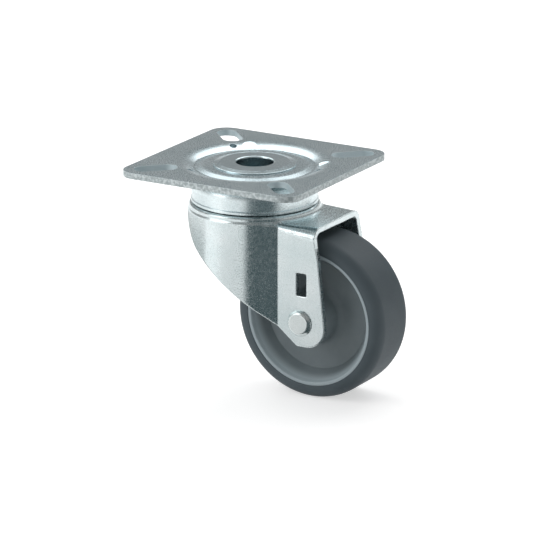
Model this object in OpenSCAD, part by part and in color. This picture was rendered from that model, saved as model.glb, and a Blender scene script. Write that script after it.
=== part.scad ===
// Swivel castor with a square top plate, a pressed sheet-steel fork and a soft-tyred wheel.
// Units are millimetres. The origin is the centre of the plate's top face, +Z is up along the
// swivel axis, and the wheel trails towards +X with its axle along Y.

/* [Overall] */
// Height from the floor to the top of the plate
overall_h = 68; // [67:0.5:70]
// Distance from the swivel axis to the axle
offset_x = 23.5; // [22.5:0.5:24]

/* [Top plate] */
// Side of the square plate
plate_side = 60; // [58:1:66]
// Radius of the plate's corners
plate_corner_r = 5.5; // [4:0.5:7]
// Thickness of the plate's sheet
plate_t = 1.8; // [1.6:0.1:2]
// Width of the four bolt slots
slot_d = 6.2; // [5.2:0.1:6.6]
// Hole spacing at the inner ends of the slots
slot_near = 38; // [37:0.5:39]
// Hole spacing at the outer ends of the slots
slot_far = 48; // [46:0.5:49]
// Depth of the dish at its lowest ring
dish_depth = 1.6; // [1.5:0.1:1.8]
// Height of the dish's middle above its lowest ring
dish_crown = 0.8; // [0.6:0.1:0.9]

/* [Swivel bearing] */
// Outer radius of the cup that covers the upper ball row
cup_r = 19.15; // [19:0.05:19.3]
// Wall of the pressed bearing cups
cup_t = 1.5; // [1.4:0.1:1.6]
// Number of balls in the upper row
upper_count = 11; // [9:1:11]
// Number of balls in the lower row
lower_count = 15; // [11:1:15]
// Diameter of the lower balls
lower_ball_d = 4; // [3.8:0.1:4.1]
// Diameter of the upper balls
upper_ball_d = 7.2; // [7:0.1:7.3]
// Gap between each ball and its races
ball_gap = 0.08; // [0.05:0.01:0.1]
// Bore of the hollow king rivet
king_bore_d = 11.3; // [10.6:0.1:11.6]

/* [Fork] */
// Thickness of the fork's sheet
fork_t = 1.8; // [1.6:0.1:1.9]
// Outer radius of the round skirt
skirt_r = 20.1; // [19.9:0.1:20.4]
// Distance between the outer faces of the legs
fork_w = 27.6; // [27.2:0.2:28.4]
// Width of the window in each leg
window_w = 3.45; // [3:0.05:4]
// Height of the window in each leg
window_h = 7.1; // [6:0.1:8]

/* [Wheel and axle] */
// Diameter of the wheel over its tyre
wheel_d = 49.5; // [48:0.5:50]
// Width of the tyre
tyre_w = 18.2; // [17:0.2:19]
// Diameter of the axle rivet's shank
axle_d = 6; // [5.6:0.1:6.2]
// Diameter of the axle rivet's heads
head_d = 8; // [7.6:0.1:9]
// Running clearance of the hub on its sleeve, on the radius
hub_gap = 0.06; // [0.03:0.01:0.1]

/* [Hidden] */
$fn = 96;
// Rounding arcs are this much larger than tangent ones, so that they always meet the sides
arc_over = 0.0005;
steel = [0.76, 0.79, 0.80];
steel_dark = [0.55, 0.58, 0.60];
tyre_grey = [0.28, 0.30, 0.31];
core_grey = [0.38, 0.40, 0.42];

// The bearing is stacked downwards from the middle of the dish
dish_floor_z = dish_crown - dish_depth;
cup_top_z = dish_floor_z - plate_t;
cup_rim_z = -11.7;
cup_rim_step = 0.25;
cup_inner_r = cup_r - cup_rim_step - cup_t;
crown_top_z = cup_rim_z - 0.2;
king_r = king_bore_d / 2 + 1.35;
sleeve_r = king_r + 0.9;

// The upper balls stand on the crown and carry the cup, whose roof is thicker than its wall
upper_ball_r = upper_ball_d / 2;
upper_race_r = upper_ball_r + ball_gap;
upper_z = crown_top_z + upper_race_r;
cup_roof_z = upper_z + upper_race_r;
upper_pitch_r = cup_inner_r - upper_race_r;

// The lower balls run inside the raised ring of the crown
lower_ball_r = lower_ball_d / 2;
lower_race_r = lower_ball_r + ball_gap;
lower_pitch_r = sleeve_r + lower_ball_r + 0.12;
ring_bend_r = lower_race_r + fork_t;
ring_slope = 30;
ring_rise = tan(ring_slope) * (upper_pitch_r - lower_pitch_r
    - (upper_race_r + fork_t + lower_race_r) * tan(ring_slope / 2));
ring_under_z = crown_top_z + ring_rise - fork_t;
lower_z = ring_under_z - lower_race_r;
crown_hole_r = sleeve_r + 0.8;
lower_cup_t = 1.3;
lower_floor_z = lower_z - lower_race_r;
lower_seat_z = lower_floor_z + 0.9;
lower_cup_r = lower_pitch_r + lower_race_r + lower_cup_t + 0.2;

// The fork's channel holds the wheel behind the round skirt
channel_z = crown_top_z - 2;
channel_bend_r = 3.6;
leg_y = fork_w / 2;
boss_r = skirt_r - 0.35;
axle_z = wheel_d / 2 - overall_h;
leg_foot_z = axle_z - 7.2;
leg_rear_x = offset_x + 8.9;
channel_rear_x = offset_x + 4.8;
window_x = offset_x + 0.5;
window_z = axle_z + 11.9;

// The wheel
tyre_r = wheel_d / 2;
tyre_shoulder_r = 3.2;
rim_r = tyre_r - 4.1;
rim_y = tyre_w / 2 - 0.15;
web_y = 3.6;
hub_r = 8;
hub_y = leg_y - fork_t - 0.3;
bush_r = axle_d / 2 + 1;

upper_balls = [for (i = [1 : upper_count]) str("upper_ball_", i)];
lower_balls = [for (i = [1 : lower_count]) str("lower_ball_", i)];

// Outlines with true arcs at their corners

function unit(v) = v / norm(v);
function cross2(a, b) = a[0] * b[1] - a[1] * b[0];
function next_of(pts, i) = pts[(i + 1) % len(pts)];
function last_of(pts, i) = pts[(i + len(pts) - 1) % len(pts)];

// Centre of the arc that rounds the corner at p between its neighbours a and b
function arc_centre(a, p, b, r) =
    let (u = unit(a - p), v = unit(b - p), half = acos(u * v) / 2)
    p + unit(u + v) * r / sin(half);

// The piece between a corner and its rounding arc, carried a little past the corner's sides
module corner_piece(a, p, b, r) {
    c = arc_centre(a, p, b, r);
    u = unit(a - p);
    v = unit(b - p);
    past = 1 + 0.05 / r;
    difference() {
        polygon([
            c + (p - c) * past,
            c + (p + u * ((c - p) * u) - c) * past,
            c,
            c + (p + v * ((c - p) * v) - c) * past,
        ]);
        translate(c) circle(r + arc_over);
    }
}

// A closed outline, points counter-clockwise as [x, y, corner radius]
module rounded(points) {
    pts = [for (p = points) [p[0], p[1]]];
    turn = [for (i = [0 : len(pts) - 1])
        cross2(pts[i] - last_of(pts, i), next_of(pts, i) - pts[i])];
    difference() {
        union() {
            polygon(pts);
            for (i = [0 : len(pts) - 1])
                if (points[i][2] > 0 && turn[i] < 0)
                    corner_piece(last_of(pts, i), pts[i], next_of(pts, i), points[i][2]);
        }
        for (i = [0 : len(pts) - 1])
            if (points[i][2] > 0 && turn[i] > 0)
                corner_piece(last_of(pts, i), pts[i], next_of(pts, i), points[i][2]);
    }
}

module turned(points) {
    rotate_extrude() rounded(points);
}

// The same section laid out on the axle, points as [radius, distance along Y]
module turned_on_axle(points) {
    translate([offset_x, 0, axle_z]) rotate([-90, 0, 0]) turned(points);
}

module on_diagonals() {
    for (a = [45 : 90 : 315]) rotate(a) children();
}

// Top plate

module plate_outline() {
    half = plate_side / 2;
    r = plate_corner_r;
    rounded([[-half, -half, r], [half, -half, r], [half, half, r], [-half, half, r]]);
}

// The dish's section goes down a long soft shoulder to its lowest ring and up again to the middle
dish_edge_r = 23.6;
dish_bend_r = 7.7;
dish_slope = 28;
dish_low_r = dish_edge_r - (dish_bend_r + plate_t) * tan(dish_slope / 2)
    - dish_depth / tan(dish_slope);
crown_slope = 16;

module dish() {
    edge = dish_edge_r + 0.4;
    top_bend = dish_bend_r + plate_t;
    top_r = dish_edge_r - top_bend * tan(dish_slope / 2);
    under_r = dish_edge_r - dish_bend_r * tan(dish_slope / 2);
    under_low_r = under_r - dish_depth / tan(dish_slope);
    mid_r = dish_low_r - dish_crown / tan(crown_slope);
    turned([
        [king_r, cup_top_z, 0],
        [mid_r, cup_top_z, 3.2],
        [under_low_r, -dish_depth - plate_t, 3],
        [under_r, -plate_t, dish_bend_r],
        [edge, -plate_t, 0],
        [edge, 0, 0],
        [top_r, 0, top_bend],
        [dish_low_r, -dish_depth, 1.2],
        [mid_r, dish_floor_z, 5],
        [king_r, dish_floor_z, 0],
    ]);
}

// Slot that runs along a diagonal
module bolt_slot() {
    near = slot_near / sqrt(2);
    far = slot_far / sqrt(2);
    for (x = [near, far]) translate([x, 0, -3]) cylinder(d = slot_d, h = 6);
    translate([near, -slot_d / 2, -3]) cube([far - near, slot_d, 6]);
}

// Round punch marks in the dish's shoulder and the small dents beside them, by angle
pit_angles = [8, 139, 233, 318];
dent_angles = [27, 125];

module pit() {
    pit_r = 1.1;
    pit_depth = 1.45;
    translate([dish_low_r + 2.4, 0, -pit_depth]) cylinder(r = pit_r, h = 3);
}

// Shallow scoop that rises outwards
module dent() {
    scoop_r = 5;
    rise = 25;
    translate([dish_low_r + 1.1, 0, -dish_depth]) rotate([0, -rise, 0])
        translate([0, 0, scoop_r]) rotate([0, 90, 0]) cylinder(r = scoop_r, h = 8);
}

module top_plate() {
    color(steel) difference() {
        union() {
            difference() {
                translate([0, 0, -plate_t]) linear_extrude(plate_t) plate_outline();
                translate([0, 0, -5]) cylinder(r = dish_edge_r + 0.4, h = 10);
            }
            dish();
        }
        for (a = pit_angles) rotate(a) pit();
        for (a = dent_angles) rotate(a) dent();
        on_diagonals() bolt_slot();
    }
}

// Swivel bearing

module upper_race_cup() {
    wall_r = cup_r - cup_rim_step;
    color(steel) turned([
        [king_r, cup_roof_z, 0],
        [cup_inner_r, cup_roof_z, upper_race_r],
        [cup_inner_r, cup_rim_z, 0.3],
        [cup_r, cup_rim_z, 0.3],
        [cup_r, cup_rim_z + 1.05, 0.3],
        [wall_r, cup_rim_z + 1.15, 0.1],
        [wall_r, cup_top_z, upper_race_r + cup_t],
        [king_r, cup_top_z, 0],
    ]);
}

module spacer_sleeve() {
    color(steel_dark) turned([
        [king_r, lower_seat_z, 0],
        [sleeve_r, lower_seat_z, 0.2],
        [sleeve_r, cup_roof_z, 0.2],
        [king_r, cup_roof_z, 0],
    ]);
}

module lower_race_cup() {
    rim_z = crown_top_z - fork_t - 0.8;
    seat_r = lower_pitch_r - lower_race_r * tan(22.5) - 0.9;
    color(steel_dark) turned([
        [king_r, lower_seat_z - lower_cup_t, 0],
        [seat_r - 0.5, lower_seat_z - lower_cup_t, 0],
        [seat_r + 0.4, lower_floor_z - lower_cup_t, 0.5],
        [lower_cup_r, lower_floor_z - lower_cup_t, 2.4],
        [lower_cup_r, rim_z, 0.4],
        [lower_cup_r - lower_cup_t, rim_z, 0.4],
        [lower_cup_r - lower_cup_t, lower_floor_z, 1.1],
        [lower_pitch_r - lower_race_r * tan(22.5), lower_floor_z, lower_race_r],
        [seat_r, lower_seat_z, 0.3],
        [king_r, lower_seat_z, 0],
    ]);
}

// Hollow rivet with a broad domed head in the dish and a set lower end under the lower cup
module king_rivet() {
    bore_r = king_bore_d / 2;
    head_r = 12.5;
    head_flat_r = 10.4;
    head_rim = 0.46;
    head_top_z = -0.02;
    tail_z = lower_seat_z - lower_cup_t;
    flare_z = lower_floor_z - lower_cup_t;
    color(steel) turned([
        [bore_r, flare_z - 1.2, 0.8],
        [king_r + 2.4, flare_z - 1.2, 0.8],
        [king_r + 2.4, flare_z, 0],
        [king_r + 0.7, flare_z, 0],
        [king_r + 0.7, tail_z, 0],
        [king_r, tail_z, 0],
        [king_r, dish_floor_z, 0],
        [head_r, dish_floor_z, 0],
        [head_r, head_top_z - head_rim, 0.1],
        [head_flat_r, head_top_z, 2],
        [bore_r, head_top_z, 0.5],
    ]);
}

module ball(row_r, row_z, r, i, count) {
    color(steel) rotate(i * 360 / count) translate([row_r, 0, row_z]) sphere(r);
}

// Fork

// Solid under a surface of revolution: the crown's ring, race groove, boss and skirt
module crown_body(ring_z, flat_z, ring_r, groove_r, boss, skirt, top_round, step) {
    foot_x = upper_pitch_r - groove_r * tan(ring_slope / 2);
    ring_x = foot_x - (ring_z - flat_z) / tan(ring_slope);
    turned([
        [0, -60, 0],
        [skirt, -60, 0],
        [skirt, crown_top_z - 2.1, step],
        [boss, crown_top_z - 1.5, step],
        [boss, flat_z, top_round],
        [foot_x, flat_z, groove_r],
        [ring_x, ring_z, ring_r],
        [0, ring_z, 0],
    ]);
}

module crown_outer() {
    crown_body(ring_under_z + fork_t, crown_top_z, ring_bend_r, upper_race_r,
        boss_r, skirt_r, 0.9, 0.25);
}

module crown_inner() {
    inner_r = skirt_r - fork_t;
    crown_body(ring_under_z, crown_top_z - fork_t, lower_race_r, upper_race_r + fork_t,
        inner_r - 0.01, inner_r, 0.5, 0);
}

// Channel as a solid block with rounded upper edges, running along X
module channel_body(half_w, top, bend_r, length) {
    rotate([90, 0, 90]) linear_extrude(length) rounded([
        [-half_w, -60, 0], [half_w, -60, 0], [half_w, top, bend_r], [-half_w, top, bend_r]]);
}

// The outer bend over each leg is a cone that grows towards the rear, from a tip inside the
// crown to the full radius at the channel's rear edge
bend_tip_x = 4;
bend_grow = channel_bend_r / (channel_rear_x - bend_tip_x);

module leg_bend_waste() {
    start = 4;
    reach = 50;
    wide = 20;
    spread = atan(bend_grow);
    half_angle = asin(bend_grow / norm([1, bend_grow, bend_grow]));
    for (s = [0, 1]) mirror([0, s, 0]) translate([bend_tip_x, -leg_y, channel_z]) difference() {
        intersection() {
            rotate([0, 0, spread]) translate([start, -wide, -wide]) cube([reach, wide, 2 * wide]);
            rotate([0, spread, 0]) translate([start, -wide, 0]) cube([reach, 2 * wide, wide]);
        }
        rotate([0, 90 + half_angle, spread])
            cylinder(h = reach, r1 = arc_over, r2 = reach * tan(half_angle) + arc_over);
    }
}

// Flat cheeks that leave the round skirt as tangents and meet the legs in an upright crease
crease_x = 16.1;
cheek_angle = atan2(leg_y, crease_x) + acos(skirt_r / norm([crease_x, leg_y]));
cheek_top_z = crown_top_z - 2.4;
// The cheeks lie this much inside the tangent, so that they always cut the skirt's circle
cheek_in = 0.04;

// A cheek's outline on its own flat face, beside a skirt of radius skirt and ending at the leg's
// face at y, carried inwards by its depth
module cheeks(skirt, y, top, corner_r, depth) {
    r = skirt - cheek_in;
    end_x = (r - y * sin(cheek_angle)) / cos(cheek_angle);
    reach = end_x * sin(cheek_angle) - y * cos(cheek_angle);
    for (s = [0, 1]) mirror([0, s, 0]) rotate([90, 0, 90 + cheek_angle])
        translate([0, 0, r - depth]) linear_extrude(depth) rounded([
            [-reach, -60, 0], [0.5, -60, 0], [0.5, top, 0], [-reach, top, corner_r]]);
}

// Rounded foot where the boss meets the channel's flat top
module boss_foot() {
    r = 1.4;
    reach = leg_y - 1.6;
    intersection() {
        turned([
            [boss_r - 1, channel_z - 1, 0],
            [boss_r + r, channel_z - 1, 0],
            [boss_r + r, channel_z, 0],
            [boss_r, channel_z, r - 0.1],
            [boss_r, channel_z + r, 0],
            [boss_r - 1, channel_z + r, 0],
        ]);
        translate([10, -reach, channel_z - 2]) cube([20, 2 * reach, 6]);
    }
}

// Outline of the fork seen from the side, [x, z, corner radius]
module side_outline() {
    nose_z = crown_top_z - 4.4;
    rounded([
        [-30, nose_z, 0],
        [-16.9, nose_z, 2],
        [-12.2, nose_z - 6.4, 20],
        [offset_x - 1, leg_foot_z, 1.5],
        [leg_rear_x, leg_foot_z, 6],
        [channel_rear_x + 1.1, crown_top_z - 11.1, 20],
        [channel_rear_x, crown_top_z - 5.6, 12],
        [channel_rear_x, 0, 0],
        [-30, 0, 0],
    ]);
}

// Cutter that runs across both legs
module across(x, z) {
    translate([x, -30, z]) rotate([-90, 0, 0]) children();
}

module leg_window() {
    w = window_w / 2;
    h = window_h / 2;
    linear_extrude(60) rounded([[-w, -h, 0.5], [w, -h, 0.5], [w, h, 0.5], [-w, h, 0.5]]);
}

module fork() {
    inner_y = leg_y - fork_t;
    color(steel) difference() {
        intersection() {
            union() {
                crown_outer();
                difference() {
                    channel_body(leg_y, channel_z, 0, 40);
                    leg_bend_waste();
                }
                cheeks(skirt_r, leg_y, cheek_top_z, 1.2, 3);
                boss_foot();
            }
            translate([0, 40, 0]) rotate([90, 0, 0]) linear_extrude(80) side_outline();
        }
        crown_inner();
        channel_body(inner_y, channel_z - fork_t, channel_bend_r - fork_t, 41);
        cheeks(skirt_r - fork_t, inner_y, channel_z - channel_bend_r, 0, 5);
        translate([0, 0, -20]) cylinder(r = crown_hole_r, h = 20);
        across(window_x, window_z) leg_window();
        across(offset_x, axle_z) cylinder(d = axle_d, h = 60);
    }
}

// Axle

// Rivet across the legs with a low domed head on each side
module axle_rivet() {
    head = 1.2;
    face_r = head_d / 2 - 0.8;
    end = leg_y + head;
    color(steel) turned_on_axle([
        [0, -end, 0],
        [face_r, -end, 0.9],
        [head_d / 2, -leg_y - 0.35, 0.4],
        [head_d / 2, -leg_y, 0],
        [axle_d / 2, -leg_y, 0],
        [axle_d / 2, leg_y, 0],
        [head_d / 2, leg_y, 0],
        [head_d / 2, leg_y + 0.35, 0.4],
        [face_r, end, 0.9],
        [0, end, 0],
    ]);
}

// Tube that keeps the legs apart and carries the hub
module axle_sleeve() {
    half = leg_y - fork_t;
    color(steel_dark) turned_on_axle([
        [axle_d / 2, -half, 0], [bush_r, -half, 0], [bush_r, half, 0], [axle_d / 2, half, 0]]);
}

// Wheel

module wheel_core() {
    bore = bush_r + hub_gap;
    color(core_grey) turned_on_axle([
        [bore, -hub_y, 0.4],
        [hub_r, -hub_y, 0.6],
        [hub_r, -web_y, 2],
        [rim_r - 4, -web_y, 0],
        [rim_r - 3.8, -web_y - 0.35, 0],
        [rim_r - 1.4, -rim_y + 1.2, 0.8],
        [rim_r - 0.9, -rim_y, 0.5],
        [rim_r, -rim_y, 0],
        [rim_r, -3, 0],
        [rim_r + 1, -2.4, 0.3],
        [rim_r + 1, 2.4, 0.3],
        [rim_r, 3, 0],
        [rim_r, rim_y, 0],
        [rim_r - 0.9, rim_y, 0.5],
        [rim_r - 1.4, rim_y - 1.2, 0.8],
        [rim_r - 3.8, web_y + 0.35, 0],
        [rim_r - 4, web_y, 0],
        [hub_r, web_y, 2],
        [hub_r, hub_y, 0.6],
        [bore, hub_y, 0.4],
    ]);
}

module tyre() {
    side_y = tyre_w / 2;
    color(tyre_grey) turned_on_axle([
        [rim_r, -side_y, 0.2],
        [tyre_r, -side_y, tyre_shoulder_r],
        [tyre_r, side_y, tyre_shoulder_r],
        [rim_r, side_y, 0.2],
        [rim_r, 3, 0],
        [rim_r + 1, 2.4, 0.3],
        [rim_r + 1, -2.4, 0.3],
        [rim_r, -3, 0],
    ]);
}

top_plate();
upper_race_cup();
spacer_sleeve();
lower_race_cup();
king_rivet();
fork();
axle_rivet();
axle_sleeve();
wheel_core();
tyre();
for (i = [1 : upper_count])
    ball(upper_pitch_r, upper_z, upper_ball_r, i, upper_count);
for (i = [1 : lower_count])
    ball(lower_pitch_r, lower_z, lower_ball_r, i, lower_count);
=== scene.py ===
"""Looks of the swivel castor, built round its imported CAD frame.

Units are metres. The origin is the centre of the plate's top face, +Z is the swivel axis
and the wheel trails towards +X.
"""
import math

import bpy
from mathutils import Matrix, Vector


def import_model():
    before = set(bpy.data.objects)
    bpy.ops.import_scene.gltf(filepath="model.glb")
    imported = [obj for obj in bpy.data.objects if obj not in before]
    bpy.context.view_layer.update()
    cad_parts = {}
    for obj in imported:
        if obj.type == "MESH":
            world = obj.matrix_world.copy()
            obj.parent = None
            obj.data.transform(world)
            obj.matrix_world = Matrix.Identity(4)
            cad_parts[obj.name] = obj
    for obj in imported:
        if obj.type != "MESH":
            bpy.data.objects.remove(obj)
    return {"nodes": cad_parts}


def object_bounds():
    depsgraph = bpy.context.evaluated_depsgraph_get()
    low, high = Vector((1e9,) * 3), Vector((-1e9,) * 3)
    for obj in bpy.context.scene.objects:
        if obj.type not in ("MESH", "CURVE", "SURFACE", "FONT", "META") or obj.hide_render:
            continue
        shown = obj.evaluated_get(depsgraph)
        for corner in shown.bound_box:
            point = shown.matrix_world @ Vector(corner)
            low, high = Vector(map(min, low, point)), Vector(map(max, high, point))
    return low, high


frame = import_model()
cad_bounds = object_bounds()
nodes = frame["nodes"]
scene = bpy.context.scene

MM = 0.001
WHEEL_CENTRE = (23.5 * MM, 0.0, -43.25 * MM)

BEVEL_SAMPLES = 8
# The cosine between the rounded and the true normal, on an open face and on an edge
ON_FACE = 0.98
ON_EDGE = 0.55


def rgb(r, g, b):
    return (r, g, b, 1.0)


def times(factor, colour):
    return rgb(*[factor * c for c in colour])


# Node trees

class Tree:
    """The node tree of a material or a world, with short calls for the nodes used here."""

    def __init__(self, owner):
        owner.use_nodes = True
        self.owner = owner
        self.tree = owner.node_tree
        self.tree.nodes.clear()
        self.coordinates = self.add("ShaderNodeTexCoord").outputs
        self.point = self.coordinates["Object"]

    def add(self, kind, inputs=None, **settings):
        made = self.tree.nodes.new(kind)
        for key, value in settings.items():
            setattr(made, key, value)
        for key, value in (inputs or {}).items():
            self.put(made.inputs[key], value)
        return made

    def put(self, socket, value):
        if isinstance(value, bpy.types.NodeSocket):
            self.tree.links.new(value, socket)
        else:
            socket.default_value = value

    def math(self, operation, a, b=0.0):
        return self.add("ShaderNodeMath", {0: a, 1: b}, operation=operation).outputs[0]

    def vector(self, operation, a, b=(0.0, 0.0, 0.0)):
        made = self.add("ShaderNodeVectorMath", {0: a, 1: b}, operation=operation)
        single = operation in ("DOT_PRODUCT", "LENGTH")
        return made.outputs["Value" if single else "Vector"]

    def split(self, vector):
        return self.add("ShaderNodeSeparateXYZ", {0: vector}).outputs

    def flat_normal(self):
        return self.add("ShaderNodeNewGeometry").outputs["Normal"]

    def rays(self):
        return self.add("ShaderNodeLightPath").outputs

    def noise(self, per_mm, detail, rough=0.5, seed=0.0):
        """Noise in the object's own coordinates; per_mm is one scale, or one for each axis."""
        scales = per_mm if isinstance(per_mm, tuple) else (per_mm,) * 3
        at = self.vector("MULTIPLY", self.point, tuple(s / MM for s in scales))
        return self.add("ShaderNodeTexNoise",
                        {"Vector": at, "W": seed, "Scale": 1.0, "Detail": detail,
                         "Roughness": rough},
                        noise_dimensions="4D").outputs["Fac"]

    def remap(self, value, low, high, to_low=0.0, to_high=1.0, smooth=False):
        return self.add("ShaderNodeMapRange",
                        {"Value": value, "From Min": low, "From Max": high,
                         "To Min": to_low, "To Max": to_high},
                        interpolation_type="SMOOTHSTEP" if smooth else "LINEAR",
                        clamp=True).outputs["Result"]

    def mix(self, factor, a, b):
        return self.add("ShaderNodeMix", {"Factor": factor, "A": a, "B": b},
                        data_type="RGBA").outputs["Result"]

    def cover(self, colour, mask, share, other):
        """The colour with the given share of another one where the mask is 1."""
        return self.mix(self.math("MULTIPLY", mask, share), colour, other)

    def bump(self, height, strength, depth_mm, normal):
        return self.add("ShaderNodeBump",
                        {"Height": height, "Strength": strength, "Distance": depth_mm * MM,
                         "Normal": normal}).outputs["Normal"]

    def soft_edges(self, radius_mm):
        return self.add("ShaderNodeBevel", {"Radius": radius_mm * MM},
                        samples=BEVEL_SAMPLES).outputs["Normal"]

    def edge_mask(self, rounded):
        """1 on the outer edges and in the corners, 0 on open faces."""
        cosine = self.vector("DOT_PRODUCT", rounded, self.flat_normal())
        return self.remap(cosine, ON_FACE, ON_EDGE)

    def matt_and_glow(self, matt, glow, strength):
        """A matt surface that also glows, for the floor and the cards."""
        return self.add("ShaderNodeAddShader",
                        {0: self.add("ShaderNodeBsdfDiffuse", {"Color": matt}).outputs[0],
                         1: self.add("ShaderNodeEmission",
                                     {"Color": glow, "Strength": strength}).outputs[0]}).outputs[0]

    def close(self, shader, output="ShaderNodeOutputMaterial"):
        """Ends the tree in a shader and returns the material or world."""
        self.add(output, {"Surface": shader})
        return self.owner

    def close_principled(self, **sockets):
        """Ends the tree in a Principled shader, with a keyword for each socket that is set."""
        return self.close(self.add("ShaderNodeBsdfPrincipled",
                                   {key.replace("_", " "): value
                                    for key, value in sockets.items()}).outputs["BSDF"])


def material_tree(name):
    return Tree(bpy.data.materials.new(name))


# Materials: first the values of the zinc plating that all pressed and riveted pieces share

# Edges and corners are lightened: partly wear of the plating, partly a painted highlight
WORN_AND_HIGHLIGHT_ZINC = rgb(0.80, 0.84, 0.84)
WORN_AND_HIGHLIGHT_SHARE = 0.4
GRAIN_SHADE = 0.78
GRAIN_SHARE = 0.12
GRAIN_SMOOTHER = 0.02
GRAIN_ROUGHER = 0.29
GRAIN_BUMP = 0.4
GRAIN_DEPTH_MM = 0.05
SCUFFS_PER_MM = (0.26, 5.2, 2.6)
SCUFF_ROUGHER = 0.06

# A sheared edge's mottle, and what all cut faces lose in gloss and metal. CUT_FROM is the share of
# sheared_mm from which side faces count as cut, so that the slots' walls do.
SHEARED_DARK = rgb(0.38, 0.44, 0.45)
SHEARED_LIGHT = rgb(0.68, 0.74, 0.75)
CUT_FROM = 0.6
CUT_ROUGHER = 0.25
CUT_LESS_METAL = 0.6

# The core's lip beside the tyre, painted lighter as a painted highlight: the distances from the
# axle where it starts and ends
LIP_IN_MM = (17.6, 19.5)
LIP_OUT_MM = (20.75, 20.6)
LIP_HIGHLIGHT_SHARE = 0.8
LIP_HIGHLIGHT_LIGHTER = 2.3


def zinc(name, dull, bright, rough, bevel_mm=0.22, grain=1.0, marks=(0.28, 0.25, 0.05), seed=0.0,
         sheared_mm=None):
    """Zinc-plated steel sheet: cloudy plating, pebbled grain, thin scuffs, edges lighter as wear
    and painted highlight.

    marks are the shallow waves of the sheet: how many per mm, how strong and how deep in mm.
    Side faces further out than sheared_mm along X or Y are sheared edges, mottled and rougher;
    those of the slots, further in, are only rougher and less metallic.
    """
    t = material_tree(name)
    clouds = t.noise(0.11, detail=4.0, rough=0.55, seed=seed)
    grains = t.noise(3.2, detail=2.0, rough=0.55, seed=seed + 1)
    scuffs = t.noise(SCUFFS_PER_MM, detail=2.0, seed=seed + 2)
    rounded = t.soft_edges(bevel_mm)
    colour = t.mix(t.remap(clouds, 0.35, 0.68), rgb(*dull), rgb(*bright))
    dark_grain = t.remap(grains, 0.55, 0.75, to_high=GRAIN_SHARE * grain)
    colour = t.mix(dark_grain, colour, times(GRAIN_SHADE, dull))
    # Lighter on edges and in corners: partly wear, partly a painted highlight
    colour = t.cover(colour, t.edge_mask(rounded), WORN_AND_HIGHLIGHT_SHARE, WORN_AND_HIGHLIGHT_ZINC)
    grain_gloss = t.remap(grains, 0.47, 0.60, rough - GRAIN_SMOOTHER,
                          rough + GRAIN_ROUGHER * grain)
    gloss = t.math("ADD", grain_gloss, t.remap(scuffs, 0.55, 0.75, to_high=SCUFF_ROUGHER))
    metal = 1.0
    if sheared_mm:
        colour, gloss, metal = sheared_edges(t, colour, gloss, sheared_mm, seed)
    waves_per_mm, waves_bump, waves_depth_mm = marks
    normal = t.bump(grains, GRAIN_BUMP * grain, GRAIN_DEPTH_MM, rounded)
    normal = t.bump(t.noise(waves_per_mm, detail=2.0, seed=seed + 3), waves_bump,
                    waves_depth_mm, normal)
    return t.close_principled(Base_Color=colour, Metallic=metal, Roughness=gloss, Normal=normal)


def sheared_edges(t, colour, gloss, sheared_mm, seed):
    """The colour, roughness and metal of zinc() with its cut side faces added."""
    place = t.split(t.point)
    out = t.math("MAXIMUM", t.math("ABSOLUTE", place["X"]), t.math("ABSOLUTE", place["Y"]))
    level = t.math("ABSOLUTE", t.split(t.flat_normal())["Z"])
    side = t.remap(level, 0.6, 0.4)
    sheared = t.math("MULTIPLY", side, t.math("GREATER_THAN", out, sheared_mm * MM))
    cut = t.math("MULTIPLY", side, t.math("GREATER_THAN", out, CUT_FROM * sheared_mm * MM))
    mottle = t.remap(t.noise(1.1, detail=3.0, rough=0.6, seed=seed + 4), 0.42, 0.6)
    return (t.mix(sheared, colour, t.mix(mottle, SHEARED_DARK, SHEARED_LIGHT)),
            t.math("ADD", gloss, t.math("MULTIPLY", cut, CUT_ROUGHER)),
            t.math("SUBTRACT", 1.0, t.math("MULTIPLY", cut, CUT_LESS_METAL)))


def bright_steel(name, colour, rough):
    """Polished balls and turned steel."""
    t = material_tree(name)
    marks = t.noise(2.4, detail=2.0)
    lighter = times(1.15, colour)
    gloss = t.remap(marks, 0.3, 0.7, to_low=rough, to_high=rough + 0.08)
    return t.close_principled(Base_Color=t.mix(marks, rgb(*colour), lighter), Metallic=1.0,
                              Roughness=gloss)


def rubber(name, base, light):
    """Grey elastic tyre: matt skin with fine pores and faint dust."""
    t = material_tree(name)
    pores = t.noise(2.6, detail=4.0, rough=0.65)
    patches = t.noise(0.09, detail=3.0)
    dusty = times(1.5, base)
    colour = t.mix(t.remap(patches, 0.35, 0.7), rgb(*base), rgb(*light))
    colour = t.mix(t.remap(pores, 0.55, 0.8, to_high=0.3), colour, dusty)
    gloss = t.remap(pores, 0.3, 0.7, to_low=0.52, to_high=0.66)
    normal = t.bump(pores, strength=0.3, depth_mm=0.03, normal=t.soft_edges(0.2))
    return t.close_principled(Base_Color=colour, Roughness=gloss, Specular_IOR_Level=0.4,
                              Normal=normal)


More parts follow.
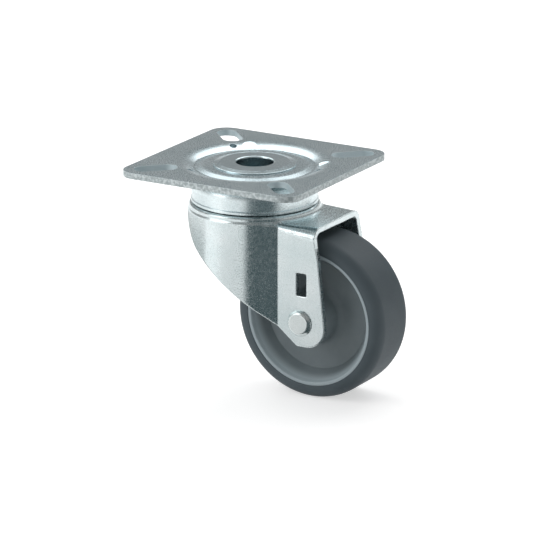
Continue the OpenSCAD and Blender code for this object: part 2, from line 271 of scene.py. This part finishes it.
def plastic(name, base, light):
    """Grey moulded wheel body with a fine matt grain, and its edges and lip painted lighter as
    highlights.
    """
    t = material_tree(name)
    grain = t.noise(3.4, detail=3.0, rough=0.6)
    flow = t.noise(0.12, detail=3.0)
    rounded = t.soft_edges(0.25)
    # Edges and corners painted lighter, as a painted highlight
    painted_highlight_edge = times(1.6, light)
    colour = t.mix(t.remap(flow, 0.35, 0.7), rgb(*base), rgb(*light))
    colour = t.cover(colour, t.edge_mask(rounded), 0.35, painted_highlight_edge)
    from_axle = t.vector("MULTIPLY", t.vector("SUBTRACT", t.point, WHEEL_CENTRE), (1, 0, 1))
    radius = t.vector("LENGTH", from_axle)
    fade_in, fade_out = [(a * MM, b * MM) for a, b in (LIP_IN_MM, LIP_OUT_MM)]
    lip = t.math("MULTIPLY", t.remap(radius, *fade_in, smooth=True),
                 t.remap(radius, *fade_out))
    # The lip ring painted lighter, as a painted highlight
    colour = t.cover(colour, lip, LIP_HIGHLIGHT_SHARE, times(LIP_HIGHLIGHT_LIGHTER, light))
    gloss = t.remap(grain, 0.3, 0.7, to_low=0.42, to_high=0.55)
    normal = t.bump(grain, strength=0.25, depth_mm=0.02, normal=rounded)
    return t.close_principled(Base_Color=colour, Roughness=gloss, Specular_IOR_Level=0.5,
                              Normal=normal)


def give(material, *names):
    for name in names:
        mesh = nodes[name].data
        if not mesh.materials:
            mesh.materials.append(material)
        for i in range(len(mesh.materials)):
            mesh.materials[i] = material


give(zinc("plate_zinc", (0.49, 0.59, 0.62), (0.58, 0.67, 0.70), rough=0.25, grain=0.28,
          sheared_mm=28), "top_plate")
give(zinc("cup_zinc", (0.64, 0.73, 0.75), (0.76, 0.83, 0.84), rough=0.27, grain=0.5, seed=3),
     "upper_race_cup")
give(zinc("rivet_zinc", (0.53, 0.64, 0.67), (0.62, 0.72, 0.75), rough=0.20, grain=0.15, seed=5),
     "king_rivet")
give(zinc("fork_zinc", (0.60, 0.68, 0.69), (0.70, 0.76, 0.77), rough=0.13, bevel_mm=0.6, seed=7),
     "fork")
give(zinc("axle_zinc", (0.58, 0.64, 0.64), (0.68, 0.73, 0.73), rough=0.20, grain=0.4,
          marks=(1.3, 0.4, 0.04), seed=9), "axle_rivet")
give(bright_steel("race_steel", (0.42, 0.44, 0.45), rough=0.32),
     "lower_race_cup", "spacer_sleeve", "axle_sleeve")
give(bright_steel("ball_steel", (0.68, 0.70, 0.72), rough=0.10),
     *[name for name in nodes if name.startswith(("upper_ball_", "lower_ball_"))])
give(rubber("tyre_rubber", (0.074, 0.098, 0.112), (0.087, 0.113, 0.127)), "tyre")
give(plastic("core_plastic", (0.170, 0.205, 0.220), (0.205, 0.243, 0.259)), "wheel_core")


# Floor, backdrop and light

FLOOR_Z = cad_bounds[0][2]
FLOOR_HALF = 4.0
FLOOR_WHITE = 0.74
GLOW = 0.55
# The camera sees more glow from the first to the second distance, so that level views stay white
FAR_FROM, FAR_TO = 0.3, 1.0
FAR_GLOW = 0.6

CARD_NEAR = 0.036
CARD_STEPS = 8

# The world's strength by the height of a direction, and the least that the camera sees
SKY_FROM, SKY_TO = 0.03, 0.16
SKY_LOW, SKY_HIGH = 1.25, 0.41
SKY_BEHIND = 1.3
SKY_GREY = 0.8

LAMP_DISTANCE = 0.85
AIM = Vector((0.005, 0.0, -0.033))


def towards(azimuth, elevation):
    """Unit vector at an angle round Z from +X and a height above the horizon, in degrees."""
    a, e = math.radians(azimuth), math.radians(elevation)
    return Vector((math.cos(a) * math.cos(e), math.sin(a) * math.cos(e), math.sin(e)))


def sheet(name, corners, material):
    mesh = bpy.data.meshes.new(name)
    mesh.from_pydata(corners, [], [tuple(range(len(corners)))])
    mesh.materials.append(material)
    obj = bpy.data.objects.new(name, mesh)
    scene.collection.objects.link(obj)
    return obj


def floor():
    """Matt white, with a glow that the camera, reflections and clear materials see."""
    t = material_tree("floor_white")
    rays = t.rays()
    seen = t.math("MAXIMUM", rays["Is Camera Ray"], rays["Is Glossy Ray"])
    seen = t.math("MAXIMUM", seen, rays["Is Transmission Ray"])
    away = t.vector("LENGTH", t.point)
    far = t.math("MULTIPLY", rays["Is Camera Ray"],
                 t.remap(away, FAR_FROM, FAR_TO, to_high=FAR_GLOW))
    glow = t.math("ADD", t.math("MULTIPLY", seen, GLOW), far)
    white = rgb(FLOOR_WHITE, FLOOR_WHITE, FLOOR_WHITE)
    material = t.close(t.matt_and_glow(white, rgb(1, 1, 1), glow))
    sheet("floor", [(x * FLOOR_HALF, y * FLOOR_HALF, FLOOR_Z)
                    for x, y in ((-1, -1), (1, -1), (1, 1), (-1, 1))], material)


def card(name, colour, first, last, fade, end, lift_mm, height=0.0):
    """A matt card on the floor that only reflections see.

    It lies between two directions in degrees, fades out over `fade` degrees inside them, and from
    end[0] to end[1] metres away from the castor. With a height it also stands up at end[0].
    """
    t = material_tree(name)
    place = t.split(t.point)
    middle = math.radians((first + last) / 2)
    along = t.math("ADD", t.math("MULTIPLY", place["X"], math.cos(middle)),
                   t.math("MULTIPLY", place["Y"], math.sin(middle)))
    across = t.math("SUBTRACT", t.math("MULTIPLY", place["Y"], math.cos(middle)),
                    t.math("MULTIPLY", place["X"], math.sin(middle)))
    angle = t.math("ABSOLUTE", t.math("ARCTAN2", across, along))
    half = math.radians((last - first) / 2)
    away = t.vector("LENGTH", t.point)
    there = t.math("MULTIPLY", t.remap(angle, half, half - math.radians(fade), smooth=True),
                   t.remap(away, end[1], end[0], smooth=True))
    clear = t.add("ShaderNodeBsdfTransparent").outputs[0]
    shown = t.matt_and_glow(rgb(*colour), rgb(*colour), GLOW / FLOOR_WHITE)
    material = t.close(t.add("ShaderNodeMixShader", {0: there, 1: clear, 2: shown}).outputs[0])

    foot = Vector((0, 0, FLOOR_Z + lift_mm * MM))
    arc = [towards(first + (last - first) * i / CARD_STEPS, 0) for i in range(CARD_STEPS + 1)]
    near = [foot + CARD_NEAR * a for a in arc]
    far = [foot + end[1] * a for a in arc]
    made = [sheet(name, near + far[::-1], material)]
    if height:
        low = [foot + end[0] * a for a in arc]
        high = [p + Vector((0, 0, height)) for p in low]
        made.append(sheet(name + "_standing", low + high[::-1], material))
    for piece in made:
        piece.visible_camera = False
        piece.visible_diffuse = False
        piece.visible_shadow = False
        piece.visible_transmission = False


def world():
    """A studio that is pale near the horizon and mid grey above, behind a white background."""
    t = Tree(bpy.data.worlds.new("studio"))
    height = t.split(t.coordinates["Generated"])["Z"]
    studio = t.remap(height, SKY_FROM, SKY_TO, SKY_LOW, SKY_HIGH, smooth=True)
    behind = t.math("MULTIPLY", t.rays()["Is Camera Ray"], SKY_BEHIND)
    back = t.add("ShaderNodeBackground",
                 {"Color": rgb(SKY_GREY, SKY_GREY, SKY_GREY),
                  "Strength": t.math("MAXIMUM", studio, behind)})
    scene.world = t.close(back.outputs[0], "ShaderNodeOutputWorld")


def lamp(name, azimuth, elevation, width, height, radiance):
    """A soft rectangular lamp of the given radiance, aimed at the object's middle."""
    light = bpy.data.lights.new(name, "AREA")
    light.shape = "RECTANGLE"
    light.size = width
    light.size_y = height
    light.energy = radiance * math.pi * width * height
    obj = bpy.data.objects.new(name, light)
    scene.collection.objects.link(obj)
    out = towards(azimuth, elevation)
    obj.location = AIM + out * LAMP_DISTANCE
    obj.rotation_euler = (-out).to_track_quat("-Z", "Y").to_euler()


floor()
card("card_pale", (0.54, 0.54, 0.54), first=-132, last=-60, fade=26, end=(0.21, 0.26), lift_mm=0.4)
card("card_grey", (0.31, 0.32, 0.32), first=128, last=212, fade=3, end=(0.19, 0.21), lift_mm=0.8)
card("card_dark", (0.052, 0.070, 0.075), first=-80, last=-12, fade=10, end=(0.25, 0.29),
     lift_mm=1.2, height=0.09)
world()
lamp("back_left", azimuth=158, elevation=52, width=0.62, height=0.75, radiance=1.9)
lamp("back_right", azimuth=82, elevation=52, width=0.62, height=0.75, radiance=1.9)
lamp("front_left", azimuth=-128, elevation=29, width=0.50, height=0.68, radiance=2.0)


# Camera, from the fit to the photograph: its angles are from -Y towards +X and above the horizon

CAMERA_AZIMUTH = 30.27
CAMERA_ELEVATION = 16.96
CAMERA_DISTANCE = 1.24417
CAMERA_TARGET_MM = (5.27, 0.0, -33.19)


def camera():
    data = bpy.data.cameras.new("camera")
    data.sensor_width = 36.0
    data.lens = 276.1
    data.clip_start = 0.05
    data.clip_end = 20.0
    obj = bpy.data.objects.new("camera", data)
    scene.collection.objects.link(obj)
    azimuth, elevation = math.radians(CAMERA_AZIMUTH), math.radians(CAMERA_ELEVATION)
    back = Vector((math.sin(azimuth) * math.cos(elevation),
                   -math.cos(azimuth) * math.cos(elevation), math.sin(elevation)))
    obj.location = Vector(CAMERA_TARGET_MM) * MM + back * CAMERA_DISTANCE
    obj.rotation_euler = (-back).to_track_quat("-Z", "Y").to_euler()
    scene.camera = obj


camera()
scene.view_settings.view_transform = "Standard"
